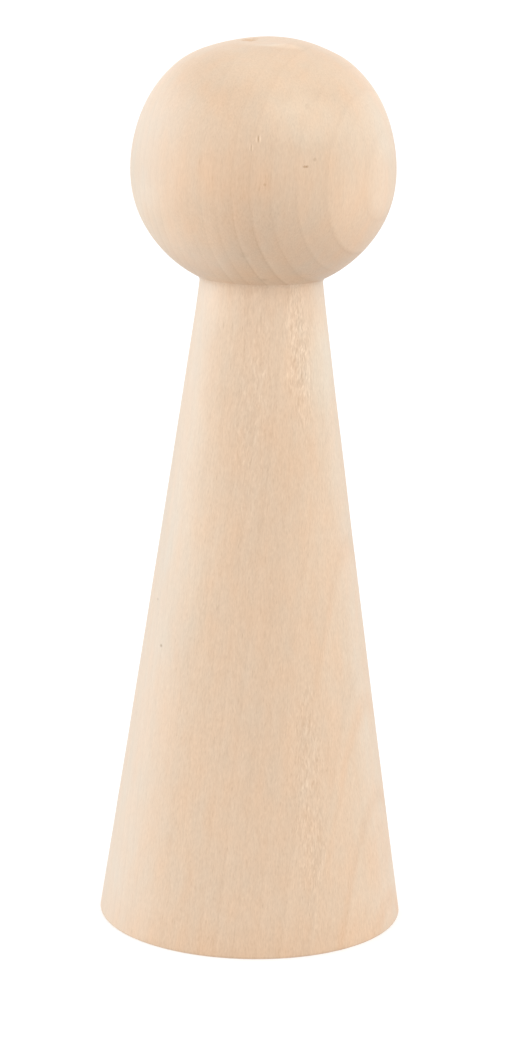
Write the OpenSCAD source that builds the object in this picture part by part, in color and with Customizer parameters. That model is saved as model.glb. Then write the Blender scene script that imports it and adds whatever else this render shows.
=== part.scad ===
// Peg doll turned from one piece of pale hardwood: a ball head on a long plain cone, with a flat foot.
// Millimetres, +Z up. The origin is the middle of the foot, on the turning axis.

/* [Overall] */
// Height from the foot to the facet on the crown
doll_h = 100; // [80:1:140]

/* [Cone] */
// Diameter of the cone at the foot, measured to the corner that the eased edge takes off
foot_d = 34.7; // [28:0.1:50]
// Diameter of the neck, where the cone's straight side meets the underside of the ball
neck_d = 13.5; // [8:0.1:20]
// Radius of the eased edge round the foot
foot_edge_r = 0.3; // [0.1:0.05:1.5]
// Radius of the hollow that the turning tool leaves round the neck
neck_hollow_r = 0.6; // [0.2:0.05:2]

/* [Head] */
// Diameter of the ball
head_d = 29.4; // [24:0.1:34]
// How much smaller than the ball's radius that of the arc under it is, which leads down to the neck
underside_less = 1.6; // [0.2:0.1:3]
// Angle below the ball's widest line at which that arc starts
underside_from = 15; // [5:1:30]
// Radius of the flatter dome over the crown
crown_r = 18.2; // [17.5:0.1:30]
// How far the top of that dome lies under the top that the full ball would have
crown_drop = 0.65; // [0.3:0.05:2]
// Radius of the shoulder that leads from the ball into the dome
shoulder_r = 9; // [2:0.1:10]
// Diameter of the facet where the doll was parted from its stock
facet_d = 6; // [2:0.1:8]

/* [Hidden] */
$fn = 180;

wood_colour = "#ECD3B7";

foot_r = foot_d / 2;
neck_r = neck_d / 2;
ball_r = head_d / 2;
underside_r = ball_r - underside_less;
facet_r = facet_d / 2;

// Heights on the axis, worked out downwards from the facet
dome_z = doll_h - sqrt(pow(crown_r, 2) - pow(facet_r, 2));
ball_z = dome_z + crown_r + crown_drop - ball_r;
dome_centre = [0, dome_z];
ball_centre = [0, ball_z];
underside_start = [cos(underside_from), -sin(underside_from)];
underside_centre = ball_centre + underside_less * underside_start;
neck_z = underside_centre.y - sqrt(pow(underside_r, 2) - pow(neck_r - underside_centre.x, 2));

// The cone's straight side: its slope, the two directions that go with it and its distance from the origin
side_angle = atan2(foot_r - neck_r, neck_z);
side_out = [cos(side_angle), sin(side_angle)];
side_up = [-sin(side_angle), cos(side_angle)];
side_distance = foot_r * cos(side_angle);

// How much an arc's radius exceeds the one that just touches both neighbours, so that it crosses them cleanly
arc_excess = 0.0005;
// Reach of a corner piece past its arc, beside it and across it
beside_share = 1.5;
across_share = 2;

function unit(v) = v / norm(v);
function from_side(out, up) = out * side_out + up * side_up;

// Centre of the foot's edge arc, inside the cone
function edge_centre() = [
    (side_distance - foot_edge_r * (1 + sin(side_angle))) / cos(side_angle),
    foot_edge_r
];

// Centre of the neck's hollow, outside both the cone's side and the arc under the ball
function hollow_centre() =
    let (
        out = side_distance + neck_hollow_r,
        across = out - underside_centre * side_out,
        reach = underside_r + neck_hollow_r
    )
    from_side(out, underside_centre * side_up - sqrt(pow(reach, 2) - pow(across, 2)));

// Centre of the shoulder arc, inside both the ball and the dome
function shoulder_centre() =
    let (
        from_dome = crown_r - shoulder_r,
        from_ball = ball_r - shoulder_r,
        between = ball_z - dome_z,
        up = (pow(from_dome, 2) - pow(from_ball, 2) + pow(between, 2)) / (2 * between)
    )
    [sqrt(pow(from_dome, 2) - pow(up, 2)), dome_z + up];

// What lies between an arc and the corner that it rounds: waste at an outer corner, filling at an inner one.
// Its two ends are given counterclockwise.
module corner(centre, end_a, end_b) {
    to_a = end_a - centre;
    to_b = end_b - centre;
    difference() {
        polygon([
            centre,
            centre + beside_share * to_a,
            centre + across_share * (to_a + to_b),
            centre + beside_share * to_b
        ]);
        translate(centre)
            circle(norm(to_a) + arc_excess);
    }
}

// The cone's side runs on up inside the ball, so that the two cross at the neck.
module cone_section() {
    radius_in_ball = foot_r - ball_z * tan(side_angle);
    polygon([[0, 0], [foot_r, 0], [radius_in_ball, ball_z], [0, ball_z]]);
}

module head_section() {
    difference() {
        intersection() {
            translate(ball_centre)
                circle(ball_r);
            translate(dome_centre)
                circle(crown_r);
            square([ball_r, doll_h]);
        }
        underside_corner();
    }
}

// Its lower end lies inside the cone, so that the arc runs on into the cone's side.
module underside_corner() {
    lowest = underside_centre - [0, underside_r];
    corner(underside_centre, lowest, underside_centre + underside_r * underside_start);
}

module foot_edge_corner() {
    centre = edge_centre();
    corner(centre, [centre.x, 0], centre + foot_edge_r * side_out);
}

module shoulder_corner() {
    centre = shoulder_centre();
    on_ball = ball_centre + ball_r * unit(centre - ball_centre);
    on_dome = dome_centre + crown_r * unit(centre - dome_centre);
    corner(centre, on_ball, on_dome);
}

module neck_corner() {
    centre = hollow_centre();
    on_underside = underside_centre + underside_r * unit(centre - underside_centre);
    corner(centre, on_underside, centre - neck_hollow_r * side_out);
}

// Half of the lengthwise section, as the turning tool follows it from the foot to the crown
module half_section() {
    difference() {
        union() {
            cone_section();
            head_section();
        }
        foot_edge_corner();
        shoulder_corner();
    }
    neck_corner();
}

module doll() {
    color(wood_colour)
        rotate_extrude()
            half_section();
}

doll();
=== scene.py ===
import math

import bpy
import numpy as np
from mathutils import Matrix, Vector, noise


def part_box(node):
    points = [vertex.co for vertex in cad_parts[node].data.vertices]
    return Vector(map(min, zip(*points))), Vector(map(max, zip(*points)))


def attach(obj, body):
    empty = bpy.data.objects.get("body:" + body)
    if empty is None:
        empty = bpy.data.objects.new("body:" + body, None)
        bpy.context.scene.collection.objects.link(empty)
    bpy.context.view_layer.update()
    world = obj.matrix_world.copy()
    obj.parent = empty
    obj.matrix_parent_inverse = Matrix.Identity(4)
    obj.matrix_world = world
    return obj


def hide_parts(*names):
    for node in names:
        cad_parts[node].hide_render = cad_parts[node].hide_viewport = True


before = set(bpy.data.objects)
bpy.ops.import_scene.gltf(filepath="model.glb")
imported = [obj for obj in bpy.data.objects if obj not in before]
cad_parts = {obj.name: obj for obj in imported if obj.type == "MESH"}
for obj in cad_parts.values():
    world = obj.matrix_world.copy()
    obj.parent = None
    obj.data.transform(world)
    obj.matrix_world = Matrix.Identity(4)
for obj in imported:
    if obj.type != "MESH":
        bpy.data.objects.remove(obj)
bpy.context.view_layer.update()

# Lengths are in millimetres until they reach a mesh, a lamp or the camera. The front is towards minus Y.
MM = 0.001
UP = (0, 0, 1)
LEFT = (-1, 0, 0)
RIGHT = (1, 0, 0)
FRONT = (0, -1, 0)

# The turned outline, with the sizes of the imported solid. The arc under the ball starts UNDERSIDE_FROM below
# the ball's equator, and is tighter than the ball by UNDERSIDE_LESS. The crown's dome has its top
# CROWN_DROP below that of the whole ball.
DOLL_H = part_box("doll")[1].z / MM
FOOT_R = 17.35
NECK_R = 6.75
FOOT_EDGE_R = 0.3
NECK_HOLLOW_R = 0.6
BALL_R = 14.7
UNDERSIDE_LESS = 1.6
UNDERSIDE_FROM = math.radians(15)
CROWN_R = 18.2
CROWN_DROP = 0.65
SHOULDER_R = 9.0
FACET_R = 3.0

# Heights on the axis and the arc under the ball
DOME_Z = DOLL_H - math.sqrt(CROWN_R**2 - FACET_R**2)
BALL_Z = DOME_Z + CROWN_R + CROWN_DROP - BALL_R
UNDERSIDE_R = BALL_R - UNDERSIDE_LESS
UNDERSIDE_START = np.array([math.cos(UNDERSIDE_FROM), -math.sin(UNDERSIDE_FROM)])
UNDERSIDE = np.array([0, BALL_Z]) + UNDERSIDE_LESS * UNDERSIDE_START
NECK_Z = UNDERSIDE[1] - math.sqrt(UNDERSIDE_R**2 - (NECK_R - UNDERSIDE[0]) ** 2)

# The cone's straight side: its slope and the directions that go with it
SIDE_ANGLE = math.atan2(FOOT_R - NECK_R, NECK_Z)
SIDE_OUT = np.array([math.cos(SIDE_ANGLE), math.sin(SIDE_ANGLE)])
SIDE_UP = np.array([-math.sin(SIDE_ANGLE), math.cos(SIDE_ANGLE)])
SIDE_DISTANCE = FOOT_R * math.cos(SIDE_ANGLE)

# How far the hand-held tool strayed from that outline: the side is faintly hollow and flares at the neck,
# and shallow waves run round the ball, three from pole to pole, which is six in a whole turn
SIDE_HOLLOW = 0.09
NECK_FLARE = 0.07
NECK_FLARE_REACH = 3.0
BALL_WAVE = 0.07
BALL_WAVES = 6
BALL_WAVE_LATITUDE = math.radians(-2)

# The facet on the crown, where the doll was parted from its stock and sanded. It is a plane that cuts
# FACET_DEPTH off the dome with a softened rim. It is tilted towards the front, and dome and facet lie off
# the axis. Inside the crown's reach the rings of the mesh close in on the facet's middle.
DOME_X = 0.5
FACET_X = -0.1
FACET_Y = -1.9
FACET_DEPTH = 0.25
FACET_BLEND = 0.02
CROWN_REACH = 7.4

# The notch that the parting tore into the facet. Its rim lies at NOTCH_RIM times its length and width, and
# wanders by the ragged share.
NOTCH_X = -1.6
NOTCH_Y = -1.0
NOTCH_LONG = 0.7
NOTCH_WIDE = 0.5
NOTCH_DEPTH = 0.25
NOTCH_TURN = math.radians(25)
NOTCH_RAGGED = 0.5
NOTCH_RIM = 1.5
NOTCH_NOISE_SHIFT = Vector((9, 0, 0))

# Low relief all over: height and spacing of the gentle waves, and of the sanded end grain on the facet
WAVE_HEIGHT = 0.02
WAVE_SPACING = 6.0
END_HEIGHT = 0.015
END_SPACING = 0.5

# Mesh density: columns round the doll, and the spacing of the rows along the outline
COLUMNS = 360
FOOT_STEP = 1.6
EDGE_STEP = 0.1
SIDE_STEP = 0.7
NECK_STEP = 0.3
NECK_REACH = 10.0
HOLLOW_STEP = 0.12
BALL_STEP = 0.5
CROWN_STEP = 0.35
FACET_STEP = 0.12


def arc(centre, radius, start, end, step):
    """Points of an arc after its first one, up to its last, about step apart. Angles are in radians."""
    count = max(2, math.ceil(abs(end - start) * radius / step))
    angles = np.linspace(start, end, count + 1)[1:]
    return centre + radius * np.column_stack([np.cos(angles), np.sin(angles)])


def line(start, end, step):
    """Points of a straight stretch after its first one, up to its last, about step apart"""
    count = max(1, math.ceil(np.linalg.norm(end - start) / step))
    shares = np.linspace(0, 1, count + 1)[1:, None]
    return start + shares * (end - start)


def angle_of(vector):
    return math.atan2(vector[1], vector[0])


def smooth_step(share):
    """Smoothly zero at zero and below, and one at one and above"""
    share = np.clip(share, 0, 1)
    return share * share * (3 - 2 * share)


def bow(share):
    """A parabola that is zero at zero and at one, and one half way between"""
    return 4 * share * (1 - share)


def edge_centre():
    """Centre of the foot's edge arc, inside the cone"""
    out = (SIDE_DISTANCE - FOOT_EDGE_R * (1 + math.sin(SIDE_ANGLE))) / math.cos(SIDE_ANGLE)
    return np.array([out, FOOT_EDGE_R])


def hollow_centre():
    """Centre of the neck's hollow, outside both the cone's side and the arc under the ball"""
    out = SIDE_DISTANCE + NECK_HOLLOW_R
    across = out - UNDERSIDE @ SIDE_OUT
    along = math.sqrt((UNDERSIDE_R + NECK_HOLLOW_R) ** 2 - across**2)
    return out * SIDE_OUT + (UNDERSIDE @ SIDE_UP - along) * SIDE_UP


def shoulder_centre():
    """Centre of the shoulder arc, inside both the ball and the dome"""
    from_dome = CROWN_R - SHOULDER_R
    from_ball = BALL_R - SHOULDER_R
    between = BALL_Z - DOME_Z
    up = (from_dome**2 - from_ball**2 + between**2) / (2 * between)
    return np.array([math.sqrt(from_dome**2 - up**2), DOME_Z + up])


def outline():
    """Radius and height of each row of the mesh, from the foot's middle to the dome's top"""
    edge, hollow, shoulder = edge_centre(), hollow_centre(), shoulder_centre()
    ball, dome = np.array([0, BALL_Z]), np.array([0, DOME_Z])
    side_start = edge + FOOT_EDGE_R * SIDE_OUT
    side_end = hollow - NECK_HOLLOW_R * SIDE_OUT
    side_bend = side_end - NECK_REACH * SIDE_UP
    below, above = angle_of(hollow - UNDERSIDE), angle_of(shoulder - ball)
    top, facet = angle_of(shoulder - dome), math.acos(FACET_R / CROWN_R)
    return np.concatenate([
        line(np.array([0.0, 0.0]), np.array([edge[0], 0.0]), FOOT_STEP),
        arc(edge, FOOT_EDGE_R, -math.pi / 2, SIDE_ANGLE, EDGE_STEP),
        line(side_start, side_bend, SIDE_STEP),
        line(side_bend, side_end, NECK_STEP),
        arc(hollow, NECK_HOLLOW_R, math.pi + SIDE_ANGLE, math.pi + below, HOLLOW_STEP),
        arc(UNDERSIDE, UNDERSIDE_R, below, -UNDERSIDE_FROM, BALL_STEP),
        arc(ball, BALL_R, -UNDERSIDE_FROM, above, BALL_STEP),
        arc(shoulder, SHOULDER_R, above, top, BALL_STEP),
        arc(dome, CROWN_R, top, facet, CROWN_STEP),
        arc(dome, CROWN_R, facet, math.pi / 2, FACET_STEP)[:-1],
    ])


def strayed(rows):
    """The outline as the tool left it"""
    radius, height = rows.T
    on_side = (height > FOOT_EDGE_R) & (height < NECK_Z)
    hollow = -SIDE_HOLLOW * bow(np.clip(height / NECK_Z, 0, 1))
    flare = NECK_FLARE * np.exp((height - NECK_Z) / NECK_FLARE_REACH)
    latitude = np.arctan2(height - BALL_Z, radius)
    wave = -BALL_WAVE * np.sin(BALL_WAVES * (latitude - BALL_WAVE_LATITUDE)) * np.cos(latitude)
    change = np.where(on_side, hollow + flare, np.where(height > NECK_Z, wave, 0))
    return np.column_stack([radius + change, height])


def crown_height(x, y, dome_x):
    """Height of the crown: the lower one of the dome and the facet's plane, with a softened rim"""
    dome = DOME_Z + np.sqrt(np.maximum(CROWN_R**2 - (x - dome_x) ** 2 - y**2, 0))
    tilt_x, tilt_y = (FACET_X - DOME_X) / CROWN_R, FACET_Y / CROWN_R
    upward = math.sqrt(1 - tilt_x**2 - tilt_y**2)
    plane = DOME_Z + (CROWN_R - FACET_DEPTH - tilt_x * (x - DOME_X) - tilt_y * y) / upward
    return -FACET_BLEND * np.logaddexp(-dome / FACET_BLEND, -plane / FACET_BLEND)


def lathe(rows):
    """Points of the turned surface by row and column, then the foot's middle and the facet's middle"""
    turn = np.linspace(0, 2 * math.pi, COLUMNS, endpoint=False)
    radius, height = rows[:, :1], rows[:, 1:]
    crown = (height > BALL_Z) & (radius < CROWN_REACH)
    aside = np.where(crown, smooth_step((CROWN_REACH - radius) / (CROWN_REACH - FACET_R)), 0)
    x = aside * FACET_X + radius * np.cos(turn)
    y = aside * FACET_Y + radius * np.sin(turn)
    z = np.where(crown, crown_height(x, y, aside * DOME_X), height)
    points = np.stack([x, y, z], axis=-1).reshape(-1, 3)
    poles = [[0, 0, 0], [FACET_X, FACET_Y, crown_height(FACET_X, FACET_Y, DOME_X)]]
    return np.concatenate([points, poles])


def band_faces(low, high, columns):
    """Four-sided faces between two rings of points, by the number of each ring's first point"""
    column = np.arange(columns)
    after = (column + 1) % columns
    return np.column_stack([low + column, low + after, high + after, high + column]).tolist()


def lathe_faces(row_count):
    """Faces of the turned surface: four-sided between its rows, three-sided round its poles"""
    last = (row_count - 1) * COLUMNS
    bottom = row_count * COLUMNS
    top = bottom + 1
    faces = []
    for low in range(0, last, COLUMNS):
        faces += band_faces(low, low + COLUMNS, COLUMNS)
    columns = [(column, (column + 1) % COLUMNS) for column in range(COLUMNS)]
    faces += [[bottom, after, column] for column, after in columns]
    faces += [[top, last + column, last + after] for column, after in columns]
    return faces


def relief(point):
    """How far the surface stands out at a point: gentle waves all over, and the sanded end grain and the
    notch on the facet"""
    x, y, z = point
    height = WAVE_HEIGHT * noise.noise(Vector(point) / WAVE_SPACING)
    if z < DOLL_H - FACET_R or math.hypot(x - FACET_X, y - FACET_Y) > FACET_R:
        return height
    height += END_HEIGHT * noise.noise(Vector(point) / END_SPACING)
    along = (x - NOTCH_X) * math.cos(NOTCH_TURN) + (y - NOTCH_Y) * math.sin(NOTCH_TURN)
    across = (y - NOTCH_Y) * math.cos(NOTCH_TURN) - (x - NOTCH_X) * math.sin(NOTCH_TURN)
    ragged = 1 + NOTCH_RAGGED * noise.noise(Vector(point) / END_SPACING + NOTCH_NOISE_SHIFT)
    reach = math.hypot(along / NOTCH_LONG, across / NOTCH_WIDE) * ragged
    return height - NOTCH_DEPTH * float(smooth_step(NOTCH_RIM - reach))


def carve(mesh):
    """Moves every point of the mesh along its normal by the relief there, apart from the flat foot"""
    normals = [vertex.normal.copy() for vertex in mesh.vertices]
    for vertex, normal in zip(mesh.vertices, normals):
        point = vertex.co / MM
        if point.z > FOOT_EDGE_R:
            vertex.co += normal * relief(point) * MM


def turned_doll():
    rows = strayed(outline())
    mesh = bpy.data.meshes.new("turned_doll")
    mesh.from_pydata((lathe(rows) * MM).tolist(), [], lathe_faces(len(rows)))
    carve(mesh)
    mesh.shade_smooth()
    doll = bpy.data.objects.new("turned_doll", mesh)
    bpy.context.scene.collection.objects.link(doll)
    return doll


# The wood. A tone counts in steps of about one part in 255 of brightness, and its shares say what a step
# adds to red, green and blue, so darker wood is more orange. A hue counts in the same steps, and turns the
# colour towards orange. No sum goes below the darkest colour.
WOOD_COLOUR = (0.70, 0.507, 0.356)
TONE_SHARES = (0.0089, 0.0116, 0.0143)
HUE_SHARES = (0.0089, -0.0035, -0.0143)
DARKEST = (0.05, 0.03, 0.015)
ROUGHNESS = 0.4

# The middle of a noise and of a ramp's level, which both run from zero to one
MIDDLE = 0.5

# The grain. Its rings are shells round a pith outside the doll. The way out from the pith is turned by this
# much from the right to the front, so the pith lies to the left and a little behind, this far from the
# doll's middle. The grain leans off the doll's axis by these slopes, out from the pith and round it.
PITH_TURN = math.radians(-20.3)
PITH_DISTANCE = 69.5
LEAN_OUT = -0.020
LEAN_ACROSS = -0.054

# Growth rings: where one ring starts, counted outwards from the axis, its width, the distance over which
# the width grows e times, and how far the rings waver, with the spacing of that across and along the grain
RING_START = -0.5
RING_WIDTH = 1.6
RING_GROWTH = 32.0
RING_WOBBLE = 0.5
RING_WOBBLE_ACROSS = 12.0
RING_WOBBLE_ALONG = 36.0

# Level across one ring, from the late wood of the ring before it to its own, as pairs of place and level
RING_SHARES = ((0.0, 0.05), (0.06, 0.4), (0.14, 0.8), (0.4, 0.6), (0.75, 0.5), (0.93, 0.35), (1.0, 0.05))

# The least tone of a ring, and how much more it may have
RING_TONE_LEAST = 1.5
RING_TONE_SPREAD = 7.0

# How strongly the rings show on a wall, and how much more they show where the surface faces down
RING_ON_WALL = 0.85
RING_BELOW = 2.4

# Dark lines of late wood on the cone's right flank: how far out from the rings' start each one lies, and
# its tone. A line fades from its core to its rim. All are whole where the normal's share to the right is
# LATE_FULL and gone where it is LATE_NONE, and they are more orange by a share of their tone.
LATE_LINES = {
    "inner": (11.6, -3.0),
    "middle": (14.4, -4.5),
    "outer": (16.3, -3.8),
    "outermost": (18.4, -4.5),
}
LATE_CORE = 0.04
LATE_RIM = 0.34
LATE_FULL = 0.95
LATE_NONE = 0.25
LATE_HUE_SHARE = 0.7

# Pairs of height on the doll and tone: painted shade on the foot, where a floor would shade it, painted light
# on the cone's top below the ball, and painted shade under the ball
HEIGHT_SHADE_AND_LIGHT = ((0, -4), (5, 0), (54, 0), (64, 4), (70, 6), (72.5, 6), (74, -3), (79, -2), (84, 0))

# Fibres, from fine to broad: spacing across and along the grain, tone and height of their relief
FIBRES = {
    "fine": (0.14, 0.5, 22.0, 0.006),
    "line": (0.16, 5.0, 11.0, 0.004),
    "middle": (0.4, 4.0, 3.0, 0.006),
    "broad": (1.1, 9.0, 5.0, 0.0),
    "slow": (5.0, 30.0, 4.0, 0.0),
}

# Short dashes along the grain where a noise passes a level: spacing across and along it, level and tone.
# The pores are dark and everywhere, and the pale flecks go with the torn grain.
PORES = (0.13, 1.4, 0.14, -70.0)
PALE_FLECKS = (0.14, 1.2, 0.1, 110.0)

# The side that faces left was cut cleaner, so the fibres lose CLEAN_LOSS of their tone there: nothing yet
# where the normal's share to the left is CLEAN_FROM, and all of it from CLEAN_TO on.
CLEAN_FROM = 0.45
CLEAN_TO = 0.95
CLEAN_LOSS = 0.35

# The ball was sanded smoother, so its fibres lose BALL_LOSS of their tone, all of it from this far above
# the neck
BALL_LOSS = 0.2
BALL_LOSS_REACH = 2.0

# Torn grain: patches by azimuth from the front to the right, height, their half sizes in degrees and
# millimetres, and their strength
TORN_PATCHES = {
    "neck": (33, 67, 16, 11, 1.3),
    "neck_middle": (-4, 62, 22, 20, 0.55),
    "low": (26, 18, 11, 18, 0.8),
    "back": (-150, 58, 30, 22, 0.8),
    "back_low": (160, 14, 16, 12, 0.8),
}
# Strength between the patches, and the shares of a patch's half size between which it fades
TORN_EVERYWHERE = 0.14
PATCH_CORE = 0.2
PATCH_RIM = 1.2
# Spacing across and along the grain, how far torn fibres bend and at what spacing, their tone and relief
TORN_ACROSS = 0.2
TORN_ALONG = 1.1
TORN_BEND = 0.6
TORN_BEND_SPACING = 1.5
TORN_DETAIL = 2.0
TORN_TONE = 60.0
TORN_HEIGHT = 0.05

# Slow changes of hue between orange and grey: spacing across and along the grain, detail and strength
HUE_ACROSS = 2.0
HUE_ALONG = 5.0
HUE_DETAIL = 3.0
HUE_TONE = 12.0

# Painted sheen: the flanks are made greyer, as the lamps' gloss would whiten them at a slant. It is nothing
# yet where the normal's share to either side is the first of these, all of it from the second on, and the
# third is its hue.
FLANK_SHEEN_FROM = 0.65
FLANK_SHEEN_TO = 0.95
FLANK_SHEEN_HUE = -3.5

# The foot is more orange, which fades up the side within this reach
FOOT_HUE = 3.5
FOOT_HUE_REACH = 5.0

# Single marks in the wood, then painted highlights, light, sheen and shade, by the pixel of the photograph
# that shows them, with their half sizes across, into the wood and upwards, and their tone
SPECKS_AND_PAINTED_LIGHT = {
    "brow_speck": (305.0, 166.8, 0.26, 0.4, 0.15, -30),
    "brow_speck_end": (307.4, 166.6, 0.16, 0.3, 0.16, -22),
    "temple_speck": (314.8, 159.6, 0.2, 0.3, 0.22, -18),
    "cheek_speck": (264.7, 184.8, 0.18, 0.3, 0.17, -15),
    "forehead_spot": (307.2, 106.4, 0.28, 0.4, 0.34, -9),
    "tear": (258.3, 138.9, 0.1, 0.3, 0.42, -26),
    "tear_left": (256.4, 138.9, 0.1, 0.3, 0.4, 14),
    "tear_right": (260.2, 139.2, 0.1, 0.3, 0.46, 18),
    "lower_tear": (251.2, 147.8, 0.1, 0.3, 0.42, -14),
    "lower_tear_left": (250.0, 147.6, 0.08, 0.3, 0.42, 14),
    "lower_tear_right": (252.6, 147.6, 0.09, 0.3, 0.42, 18),
    "chin_spot": (244.0, 255.0, 0.5, 0.6, 0.35, -7),
    "neck_spot": (264.0, 280.0, 0.5, 0.6, 0.3, -9),
    "side_speck": (161.2, 645.6, 0.2, 0.3, 0.19, -34),
    "upper_side_speck": (157.8, 599.1, 0.22, 0.3, 0.16, -20),
    # From here on all entries are painted: highlights on the crown's rim, the brow, the forehead and the
    # crown; light on the ball's lower sides and just below the neck on the left; sheen on the right temple,
    # the left side and below the neck on the right; and shade under the chin, on the crown's left and low on
    # the right side
    "crown_rim_highlight": (284.0, 46.0, 2.4, 0.9, 0.5, 10),
    "brow_sheen": (302.0, 120.0, 5.5, 6.0, 2.6, 7),
    "forehead_sheen": (286.0, 100.0, 3.0, 4.0, 2.2, 5),
    "chin_shade": (247.0, 205.0, 3.6, 6.0, 9.0, -4),
    "left_cheek_painted_light": (152.0, 222.0, 4.5, 9.0, 5.0, 8),
    "right_cheek": (366.0, 212.0, 4.5, 9.0, 5.5, 8),
    "crown_sheen": (285.0, 71.0, 8.0, 7.0, 2.2, 6),
    "left_chin_painted_light": (203.0, 248.0, 4.5, 8.0, 4.0, 5),
    "left_neck_painted_light": (222.0, 302.0, 2.6, 5.0, 3.0, 5),
    "right_temple": (374.0, 136.0, 3.5, 8.0, 3.5, 3),
    "left_jaw": (190.0, 205.0, 5.0, 8.0, 5.5, 2),
    "left_side": (196.0, 510.0, 3.5, 9.0, 13.0, 4),
    "left_crown_painted_shade": (200.0, 76.0, 5.0, 8.0, 2.6, -3),
    "right_foot": (380.0, 846.0, 2.6, 8.0, 5.0, -4),
    "right_neck": (321.0, 362.0, 2.0, 5.0, 4.5, 3),
    "right_chin_painted_light": (345.0, 225.0, 4.0, 8.0, 3.5, 2),
}

# Patches with a hue of their own, in the same way, with a hue in place of the tone. The greyer ones on the
# forehead, the right temple, below the neck on the right and on the left side are painted sheen, where the
# lamps' gloss would whiten the wood.
HUES_AND_PAINTED_SHEEN = {
    "forehead_painted_sheen": (302.0, 120.0, 6.0, 7.0, 3.6, -3),
    "right_temple_painted_sheen": (370.0, 134.0, 4.0, 8.0, 3.5, -3),
    "left_jaw_warmth": (188.0, 200.0, 6.0, 9.0, 6.0, 3),
    "right_cheek_warmth": (370.0, 216.0, 5.5, 9.0, 6.5, 4),
    "cheek_warmth": (247.0, 178.0, 4.5, 6.0, 2.8, 3.5),
    "right_neck_painted_sheen": (322.0, 368.0, 2.4, 5.0, 5.5, -5),
    "right_foot_warmth": (381.0, 846.0, 2.6, 8.0, 5.0, 3),
    "left_side_painted_sheen": (178.0, 560.0, 3.0, 9.0, 15.0, -2),
}

# The shares of its half sizes between which a mark fades
MARK_SHARP = 0.4
MARK_SOFT = 1.3


class Sums:
    """Adds the nodes of a sum to a node tree. Each method but join returns the socket with its result."""

    def __init__(self, tree):
        self.tree = tree

    def join(self, node, inputs):
        """Gives a node its inputs in turn, each one a socket or a value, and returns the node"""
        for socket, given in zip(node.inputs, inputs):
            if isinstance(given, bpy.types.NodeSocket):
                self.tree.links.new(given, socket)
            else:
                socket.default_value = given
        return node

    def number(self, operation, *inputs):
        node = self.tree.nodes.new("ShaderNodeMath")
        node.operation = operation
        return self.join(node, inputs).outputs["Value"]

    def vector(self, operation, *inputs):
        node = self.tree.nodes.new("ShaderNodeVectorMath")
        node.operation = operation
        self.join(node, inputs)
        return node.outputs["Value" if operation in ("DOT_PRODUCT", "LENGTH") else "Vector"]

    def scaled(self, vector, scale):
        node = self.tree.nodes.new("ShaderNodeVectorMath")
        node.operation = "SCALE"
        self.tree.links.new(vector, node.inputs[0])
        node.inputs["Scale"].default_value = scale
        return node.outputs["Vector"]

    def combined(self, *inputs):
        return self.join(self.tree.nodes.new("ShaderNodeCombineXYZ"), inputs).outputs["Vector"]

    def noise(self, place, detail=1.0):
        """Signed noise with features about one unit apart"""
        node = self.tree.nodes.new("ShaderNodeTexNoise")
        node.inputs["Scale"].default_value = 1
        node.inputs["Detail"].default_value = detail
        self.tree.links.new(place, node.inputs["Vector"])
        return self.number("SUBTRACT", node.outputs["Fac"], MIDDLE)

    def fade(self, value, start, end):
        """Smoothly one at the start and zero at the end"""
        node = self.tree.nodes.new("ShaderNodeMapRange")
        node.interpolation_type = "SMOOTHSTEP"
        self.join(node, (value, start, end, 1.0, 0.0))
        return node.outputs["Result"]

    def ramp(self, value, stops):
        """A level that runs through the stops, which are pairs of place and level from zero to one"""
        node = self.tree.nodes.new("ShaderNodeValToRGB")
        marks = node.color_ramp.elements
        while len(marks) < len(stops):
            marks.new(1)
        for mark, (place, level) in zip(marks, stops):
            mark.position = place
            mark.color = (level, level, level, 1)
        return self.join(node, [value]).outputs["Color"]

    def total(self, terms):
        result = terms[0]
        for term in terms[1:]:
            result = self.number("ADD", result, term)
        return result


class WoodPoint:
    """The sockets that say where a point of the wood lies, and which way its surface faces there"""

    def __init__(self, sums):
        coordinates = sums.tree.nodes.new("ShaderNodeTexCoord").outputs
        self.place = sums.scaled(coordinates["Object"], 1 / MM)
        self.height = sums.vector("DOT_PRODUCT", self.place, UP)
        self.upward = sums.vector("DOT_PRODUCT", coordinates["Normal"], UP)
        self.leftward = sums.vector("DOT_PRODUCT", coordinates["Normal"], LEFT)
        self.grain = grain_place(sums, self.place)
        self.outwards = ring_place(sums, self.grain)


def grain_place(sums, place):
    """Place in the grain's own directions: out from the pith, round it, and along the fibres. The grain
    crosses the doll's axis half way up."""
    outwards = (math.cos(PITH_TURN), math.sin(PITH_TURN), LEAN_OUT)
    across = (-math.sin(PITH_TURN), math.cos(PITH_TURN), LEAN_ACROSS)
    parts = []
    for direction in (outwards, across):
        part = sums.vector("DOT_PRODUCT", place, direction)
        parts.append(sums.number("SUBTRACT", part, direction[2] * DOLL_H / 2))
    return sums.combined(*parts, sums.vector("DOT_PRODUCT", place, UP))


def grain_noise(sums, grain, across, along, detail=1.0, shift=0.0):
    """Signed noise with features this far apart across and along the grain. A shift of its own gives it a
    pattern of its own."""
    place = sums.vector("MULTIPLY_ADD", grain, (1 / across, 1 / across, 1 / along), (shift, 0, 0))
    return sums.noise(place, detail)


def ring_place(sums, grain):
    """How far out from the rings' start a point lies, wavering as the rings do"""
    from_pith = sums.vector("MULTIPLY_ADD", grain, (1, 1, 0), (PITH_DISTANCE, 0, 0))
    outwards = sums.number("SUBTRACT", sums.vector("LENGTH", from_pith), PITH_DISTANCE + RING_START)
    wobble = grain_noise(sums, grain, RING_WOBBLE_ACROSS, RING_WOBBLE_ALONG)
    return sums.number("MULTIPLY_ADD", wobble, RING_WOBBLE, outwards)


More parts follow.
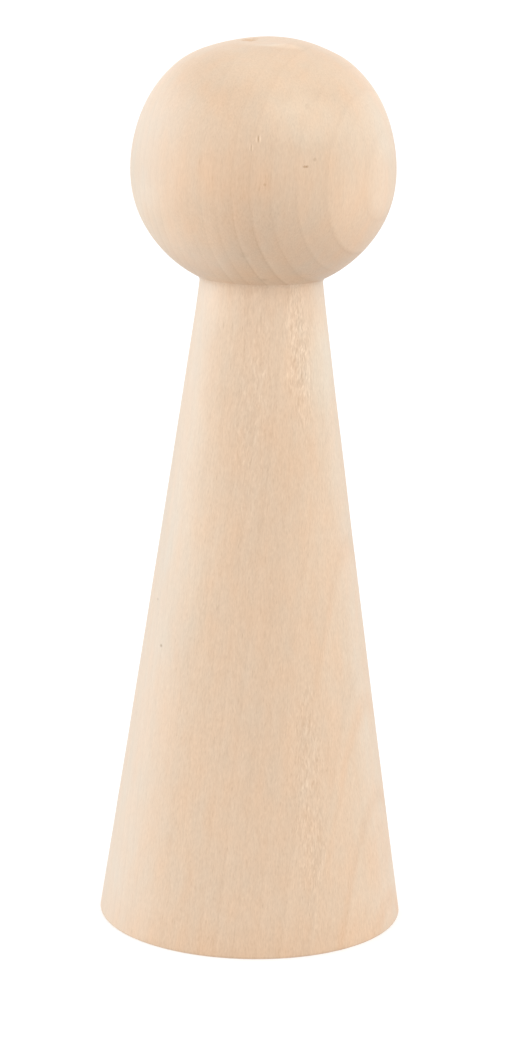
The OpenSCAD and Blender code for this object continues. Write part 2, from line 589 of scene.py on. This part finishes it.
def ring_strength(sums, count):
    """Tone of each ring, drawn at random by its whole number, so it is the same each run"""
    own = sums.tree.nodes.new("ShaderNodeTexWhiteNoise")
    own.noise_dimensions = "1D"
    sums.tree.links.new(sums.number("FLOOR", count), own.inputs["W"])
    return sums.number("MULTIPLY_ADD", own.outputs["Value"], RING_TONE_SPREAD, RING_TONE_LEAST)


def ring_tone(sums, point):
    """Growth rings: each one pale after a thin dark line and slowly darker outwards, no two alike"""
    decay = sums.number("EXPONENT", sums.number("DIVIDE", point.outwards, -RING_GROWTH))
    count = sums.number("MULTIPLY", sums.number("SUBTRACT", 1.0, decay), RING_GROWTH / RING_WIDTH)
    level = sums.ramp(sums.number("FRACT", count), RING_SHARES)
    tone = sums.number("MULTIPLY", sums.number("SUBTRACT", level, MIDDLE), ring_strength(sums, count))
    downward = sums.number("MAXIMUM", sums.number("MULTIPLY", point.upward, -1.0), 0.0)
    shown = sums.number("MULTIPLY_ADD", downward, RING_BELOW, RING_ON_WALL)
    return sums.number("MULTIPLY", tone, shown)


def late_tone(sums, point):
    """The late wood's dark lines, on the cone's right flank"""
    lines = []
    for place, tone in LATE_LINES.values():
        aside = sums.number("ABSOLUTE", sums.number("SUBTRACT", point.outwards, place))
        lines.append(sums.number("MULTIPLY", sums.fade(aside, LATE_CORE, LATE_RIM), tone))
    on_cone = sums.fade(point.height, NECK_Z - LATE_RIM, NECK_Z)
    shown = sums.number("MULTIPLY", sums.fade(point.leftward, -LATE_FULL, -LATE_NONE), on_cone)
    return sums.number("MULTIPLY", sums.total(lines), shown)


def painted_height_shade(sums, height):
    """Painted shade and light by height, from a ramp whose levels are shares of the span between the extremes
    """
    tones = [tone for up, tone in HEIGHT_SHADE_AND_LIGHT]
    lowest, span = min(tones), max(tones) - min(tones)
    stops = [(up / DOLL_H, (tone - lowest) / span) for up, tone in HEIGHT_SHADE_AND_LIGHT]
    level = sums.ramp(sums.number("DIVIDE", height, DOLL_H), stops)
    return sums.number("MULTIPLY_ADD", level, span, lowest)


def torn_patches(sums, point):
    """How badly the grain is torn at each place"""
    right = sums.vector("DOT_PRODUCT", point.place, RIGHT)
    front = sums.vector("DOT_PRODUCT", point.place, FRONT)
    azimuth = sums.number("ARCTAN2", right, front)
    patches = TORN_EVERYWHERE
    for turn, middle, half_turn, half_height, strength in TORN_PATCHES.values():
        aside = sums.number("SUBTRACT", azimuth, math.radians(turn))
        aside = sums.number("WRAP", aside, math.pi, -math.pi)
        aside = sums.number("DIVIDE", aside, math.radians(half_turn))
        above = sums.number("DIVIDE", sums.number("SUBTRACT", point.height, middle), half_height)
        patch = sums.fade(sums.vector("LENGTH", sums.combined(aside, above, 0.0)), PATCH_CORE, PATCH_RIM)
        patches = sums.number("MAXIMUM", patches, sums.number("MULTIPLY", patch, strength))
    return patches


def bent_grain(sums, grain):
    """The grain's own directions, bent this way and that as torn fibres are"""
    bend = sums.noise(sums.scaled(grain, 1 / TORN_BEND_SPACING), TORN_DETAIL)
    bend = sums.number("MULTIPLY", bend, TORN_BEND)
    return sums.vector("ADD", grain, sums.combined(bend, bend, 0.0))


def dash_tone(sums, grain, across, along, level, tone):
    """Tone of short dashes, by how far their noise passes the level"""
    over = sums.number("SUBTRACT", grain_noise(sums, grain, across, along, shift=along), level)
    return sums.number("MULTIPLY", sums.number("MAXIMUM", over, 0.0), tone)


def fibre_sums(sums, point):
    """Tone and relief of the pores, the torn grain with its pale flecks, and the sound fibres"""
    patches, bent = torn_patches(sums, point), bent_grain(sums, point.grain)
    torn = grain_noise(sums, bent, TORN_ACROSS, TORN_ALONG, TORN_DETAIL)
    torn = sums.number("MULTIPLY", torn, patches)
    tones = [dash_tone(sums, point.grain, *PORES), sums.number("MULTIPLY", torn, TORN_TONE)]
    tones.append(sums.number("MULTIPLY", dash_tone(sums, bent, *PALE_FLECKS), patches))
    heights = [sums.number("MULTIPLY", torn, TORN_HEIGHT)]
    for across, along, tone, height in FIBRES.values():
        fibre = grain_noise(sums, point.grain, across, along)
        tones.append(sums.number("MULTIPLY", fibre, tone))
        heights.append(sums.number("MULTIPLY", fibre, height))
    return sums.total(tones), sums.total(heights)


def fibres_left(sums, point):
    """Share of the fibres' tone that is left where the wood was cut or sanded more cleanly"""
    unclean = sums.fade(point.leftward, CLEAN_FROM, CLEAN_TO)
    on_left = sums.number("MULTIPLY_ADD", unclean, CLEAN_LOSS, 1 - CLEAN_LOSS)
    below_ball = sums.fade(point.height, NECK_Z, NECK_Z + BALL_LOSS_REACH)
    on_ball = sums.number("MULTIPLY_ADD", below_ball, BALL_LOSS, 1 - BALL_LOSS)
    return sums.number("MULTIPLY", on_left, on_ball)


def speck_and_painted_light_tones(sums, place, marks):
    """The tones of single marks and of painted highlights, light, sheen and shade, each one soft-edged round
    the point that the camera sees
    """
    tones = []
    for x, y, across, inwards, upwards, tone in marks.values():
        offset = sums.vector("SUBTRACT", place, seen_at(x, y))
        offset = sums.vector("MULTIPLY", offset, (1 / across, 1 / inwards, 1 / upwards))
        mark = sums.fade(sums.vector("LENGTH", offset), MARK_SHARP, MARK_SOFT)
        tones.append(sums.number("MULTIPLY", mark, tone))
    return tones


def hue_tones(sums, point):
    """The hues of the wood itself, the painted sheen that greys the flanks, and the hue of the foot"""
    slow = grain_noise(sums, point.grain, HUE_ACROSS, HUE_ALONG, HUE_DETAIL)
    flank_sheen = sums.fade(sums.number("ABSOLUTE", point.leftward), FLANK_SHEEN_TO, FLANK_SHEEN_FROM)
    foot = sums.fade(point.height, 0.0, FOOT_HUE_REACH)
    pairs = ((slow, HUE_TONE), (flank_sheen, FLANK_SHEEN_HUE), (foot, FOOT_HUE))
    return [sums.number("MULTIPLY", level, hue) for level, hue in pairs]


def toned(sums, colour, tone, shares):
    """The colour with a tone laid over it, by the shares of it in red, green and blue"""
    steps = tuple(channel * share for channel, share in zip(WOOD_COLOUR, shares))
    return sums.vector("MULTIPLY_ADD", sums.combined(tone, tone, tone), steps, colour)


def wood_colour(sums, point, fibres):
    """The wood's colour, with all its tones and then its hues laid over it. Painted shade and light by
    height, painted highlights, light, sheen and shade among the marks, and the flanks' painted sheen are
    among them.
    """
    late = late_tone(sums, point)
    tones = [sums.number("MULTIPLY", fibres, fibres_left(sums, point))]
    # The tone by height is painted shade at the foot and under the ball, and painted light on the cone's top
    tones += [ring_tone(sums, point), painted_height_shade(sums, point.height), late]
    # The marks end in painted highlights, light, sheen and shade
    tones += speck_and_painted_light_tones(sums, point.place, SPECKS_AND_PAINTED_LIGHT)
    hues = hue_tones(sums, point) + [sums.number("MULTIPLY", late, -LATE_HUE_SHARE)]
    # These hues include painted sheen
    hues += speck_and_painted_light_tones(sums, point.place, HUES_AND_PAINTED_SHEEN)
    colour = toned(sums, WOOD_COLOUR, sums.total(tones), TONE_SHARES)
    colour = toned(sums, colour, sums.total(hues), HUE_SHARES)
    return sums.vector("MAXIMUM", colour, DARKEST)


def bare_wood():
    material = bpy.data.materials.new("turned_wood")
    material.use_nodes = True
    tree = material.node_tree
    sums = Sums(tree)
    point = WoodPoint(sums)
    fibres, heights = fibre_sums(sums, point)
    bump = tree.nodes.new("ShaderNodeBump")
    bump.inputs["Strength"].default_value = 1
    bump.inputs["Distance"].default_value = MM
    tree.links.new(heights, bump.inputs["Height"])
    shader = tree.nodes["Principled BSDF"]
    shader.inputs["Roughness"].default_value = ROUGHNESS
    tree.links.new(wood_colour(sums, point, fibres), shader.inputs["Base Color"])
    tree.links.new(bump.outputs["Normal"], shader.inputs["Normal"])
    return material


# The camera, as fitted to the photograph's outline. The sensor's size is that of the frame's longer side.
CAMERA_DISTANCE = 344.0
CAMERA_HEIGHT = 123.13
CAMERA_ASIDE = -0.203
CAMERA_PITCH = math.radians(12.621)
CAMERA_ROLL = math.radians(1.07)
CAMERA_PLACE = Vector((CAMERA_ASIDE, -CAMERA_DISTANCE, CAMERA_HEIGHT))
FOCAL_PIXELS = 3118.1
FRAME_WIDE = 510
FRAME_TALL = 1040
SENSOR = 36.0
CLIP_START = 10
CLIP_END = 200000

# How far from the camera the doll begins and ends, and the steps of the search for its surface
SIGHT_FROM = 290.0
SIGHT_TO = 400.0
SIGHT_STEP = 0.02


def camera_axes():
    """Directions to the right in the picture, up in it and ahead"""
    ahead = Vector((0, math.cos(CAMERA_PITCH), -math.sin(CAMERA_PITCH)))
    level = Vector(RIGHT)
    upright = level.cross(ahead)
    across = math.cos(CAMERA_ROLL) * level + math.sin(CAMERA_ROLL) * upright
    above = -math.sin(CAMERA_ROLL) * level + math.cos(CAMERA_ROLL) * upright
    return across, above, ahead


def seen_at(x, y):
    """The point of the turned surface that the camera sees at a pixel of the photograph"""
    across, above, ahead = camera_axes()
    aside = across * (x - FRAME_WIDE / 2) / FOCAL_PIXELS
    upwards = above * (FRAME_TALL / 2 - y) / FOCAL_PIXELS
    sight = (ahead + aside + upwards).normalized()
    far = np.arange(SIGHT_FROM, SIGHT_TO, SIGHT_STEP)
    places = np.array(CAMERA_PLACE) + far[:, None] * np.array(sight)
    radius, height = strayed(outline()).T
    # The rows before the foot's rim all lie at one height, so the wall starts at that rim
    foot_rim = int(np.argmax(height > 0)) - 1
    wall = np.interp(places[:, 2], height[foot_rim:], radius[foot_rim:])
    inside = np.hypot(places[:, 0], places[:, 1]) < wall
    return tuple(float(value) for value in places[np.argmax(inside)])


def camera():
    data = bpy.data.cameras.new("camera")
    data.sensor_width = SENSOR
    data.lens = FOCAL_PIXELS / FRAME_TALL * SENSOR
    data.clip_start = CLIP_START * MM
    data.clip_end = CLIP_END * MM
    across, above, ahead = camera_axes()
    place = Matrix((across, above, -ahead)).transposed().to_4x4()
    place.translation = CAMERA_PLACE * MM
    made = bpy.data.objects.new("camera", data)
    made.matrix_world = place
    bpy.context.scene.collection.objects.link(made)
    bpy.context.scene.camera = made


# The floor is a card that only the camera sees, so it lights and shades nothing. Its colour and its own
# glow add up to white. Its rim curves up to a wall, as a studio's backdrop does. It lies a hair above the
# foot's plane, so that a view from below shows the foot's end grain. The light that a floor would send up
# comes from the lower half of the sky and from a low softbox instead.
FLOOR_R = 3000
FLOOR_Z = 0.02
FLOOR_SIDES = 96
COVE_R = 1000
COVE_RINGS = 9
FLOOR_COLOUR = (0.6, 0.6, 0.6, 1)
FLOOR_ROUGHNESS = 0.9
GLOW_COLOUR = (1, 1, 1, 1)
FLOOR_GLOW = 0.45


def floor_mesh():
    """A round floor with the rings of its rim, from the flat up to the wall"""
    rises = np.linspace(0, math.pi / 2, COVE_RINGS)
    turns = np.linspace(0, 2 * math.pi, FLOOR_SIDES, endpoint=False)
    rise, turn = np.meshgrid(rises, turns, indexing="ij")
    radius = FLOOR_R + COVE_R * np.sin(rise)
    height = FLOOR_Z + COVE_R * (1 - np.cos(rise))
    points = np.stack([radius * np.cos(turn), radius * np.sin(turn), height], axis=-1)
    faces = [list(range(FLOOR_SIDES))]
    for low in range(0, (COVE_RINGS - 1) * FLOOR_SIDES, FLOOR_SIDES):
        faces += band_faces(low, low + FLOOR_SIDES, FLOOR_SIDES)
    mesh = bpy.data.meshes.new("floor")
    mesh.from_pydata((points.reshape(-1, 3) * MM).tolist(), [], faces)
    return mesh


def pale_floor():
    mesh = floor_mesh()
    floor = bpy.data.objects.new("floor", mesh)
    floor.visible_diffuse = False
    floor.visible_glossy = False
    floor.visible_shadow = False
    bpy.context.scene.collection.objects.link(floor)
    material = bpy.data.materials.new("pale_floor")
    material.use_nodes = True
    shader = material.node_tree.nodes["Principled BSDF"]
    shader.inputs["Base Color"].default_value = FLOOR_COLOUR
    shader.inputs["Roughness"].default_value = FLOOR_ROUGHNESS
    shader.inputs["Emission Color"].default_value = GLOW_COLOUR
    shader.inputs["Emission Strength"].default_value = FLOOR_GLOW
    mesh.materials.append(material)


# Softboxes: azimuth from the camera's side round to the right and elevation in degrees, width and height,
# and the radiance of each in red, green and blue. All face the doll's middle from one distance.
SOFTBOX_DISTANCE = 900
AIM_Z = DOLL_H / 2
SOFTBOXES = {
    "left": (-85, 10, 350, 1000, (1.05, 1.3, 1.45)),
    "left_middle": (-105, 10, 350, 1000, (0.75, 1.0, 1.2)),
    "left_back": (-125, 10, 350, 1000, (0.45, 0.65, 0.85)),
    "left_low": (-125, -48, 500, 500, (0.6, 0.6, 0.6)),
    "right": (85, 10, 350, 1000, (0.8, 0.85, 0.85)),
    "right_back": (125, 10, 350, 1000, (0.65, 0.75, 0.8)),
    "upper_right": (50, 50, 600, 600, (0.65, 0.65, 0.5)),
}


def softboxes():
    """Area lamps. One with pi watts for each square metre has a radiance of one, times its colour."""
    for name, (azimuth, elevation, width, height, radiance) in SOFTBOXES.items():
        data = bpy.data.lights.new(name, "AREA")
        data.shape = "RECTANGLE"
        data.size = width * MM
        data.size_y = height * MM
        data.color = radiance
        data.energy = math.pi * data.size * data.size_y
        turn, rise = math.radians(azimuth), math.radians(elevation)
        out = Vector((math.sin(turn) * math.cos(rise), -math.cos(turn) * math.cos(rise), math.sin(rise)))
        lamp = bpy.data.objects.new(name, data)
        lamp.matrix_world = out.to_track_quat("Z", "Y").to_matrix().to_4x4()
        lamp.location = (out * SOFTBOX_DISTANCE + Vector((0, 0, AIM_Z))) * MM
        lamp.visible_camera = False
        bpy.context.scene.collection.objects.link(lamp)


# The white room round the doll: its brightness, and pairs of a direction's upward part and the share of
# that brightness there
SKY_STRENGTH = 1.26
SKY_SHARES = ((-0.6, 0.57), (-0.4, 0.73), (-0.02, 0.73), (0.02, 1.0), (0.4, 1.0), (0.6, 0.76))


def sky():
    """A world whose ramp starts straight down, has the horizon in its middle and ends straight up"""
    world = bpy.data.worlds.new("studio")
    world.use_nodes = True
    sums = Sums(world.node_tree)
    nodes = world.node_tree.nodes
    direction = nodes.new("ShaderNodeTexCoord").outputs["Generated"]
    upward = sums.vector("DOT_PRODUCT", direction, UP)
    stops = [(MIDDLE + up / 2, share) for up, share in SKY_SHARES]
    level = sums.ramp(sums.number("MULTIPLY_ADD", upward, MIDDLE, MIDDLE), stops)
    sums.join(nodes["Background"], [level, SKY_STRENGTH])
    bpy.context.scene.world = world


doll = turned_doll()
doll.data.materials.append(bare_wood())
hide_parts("doll")
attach(doll, "root")

camera()
pale_floor()
softboxes()
sky()
bpy.context.scene.view_settings.view_transform = "Standard"
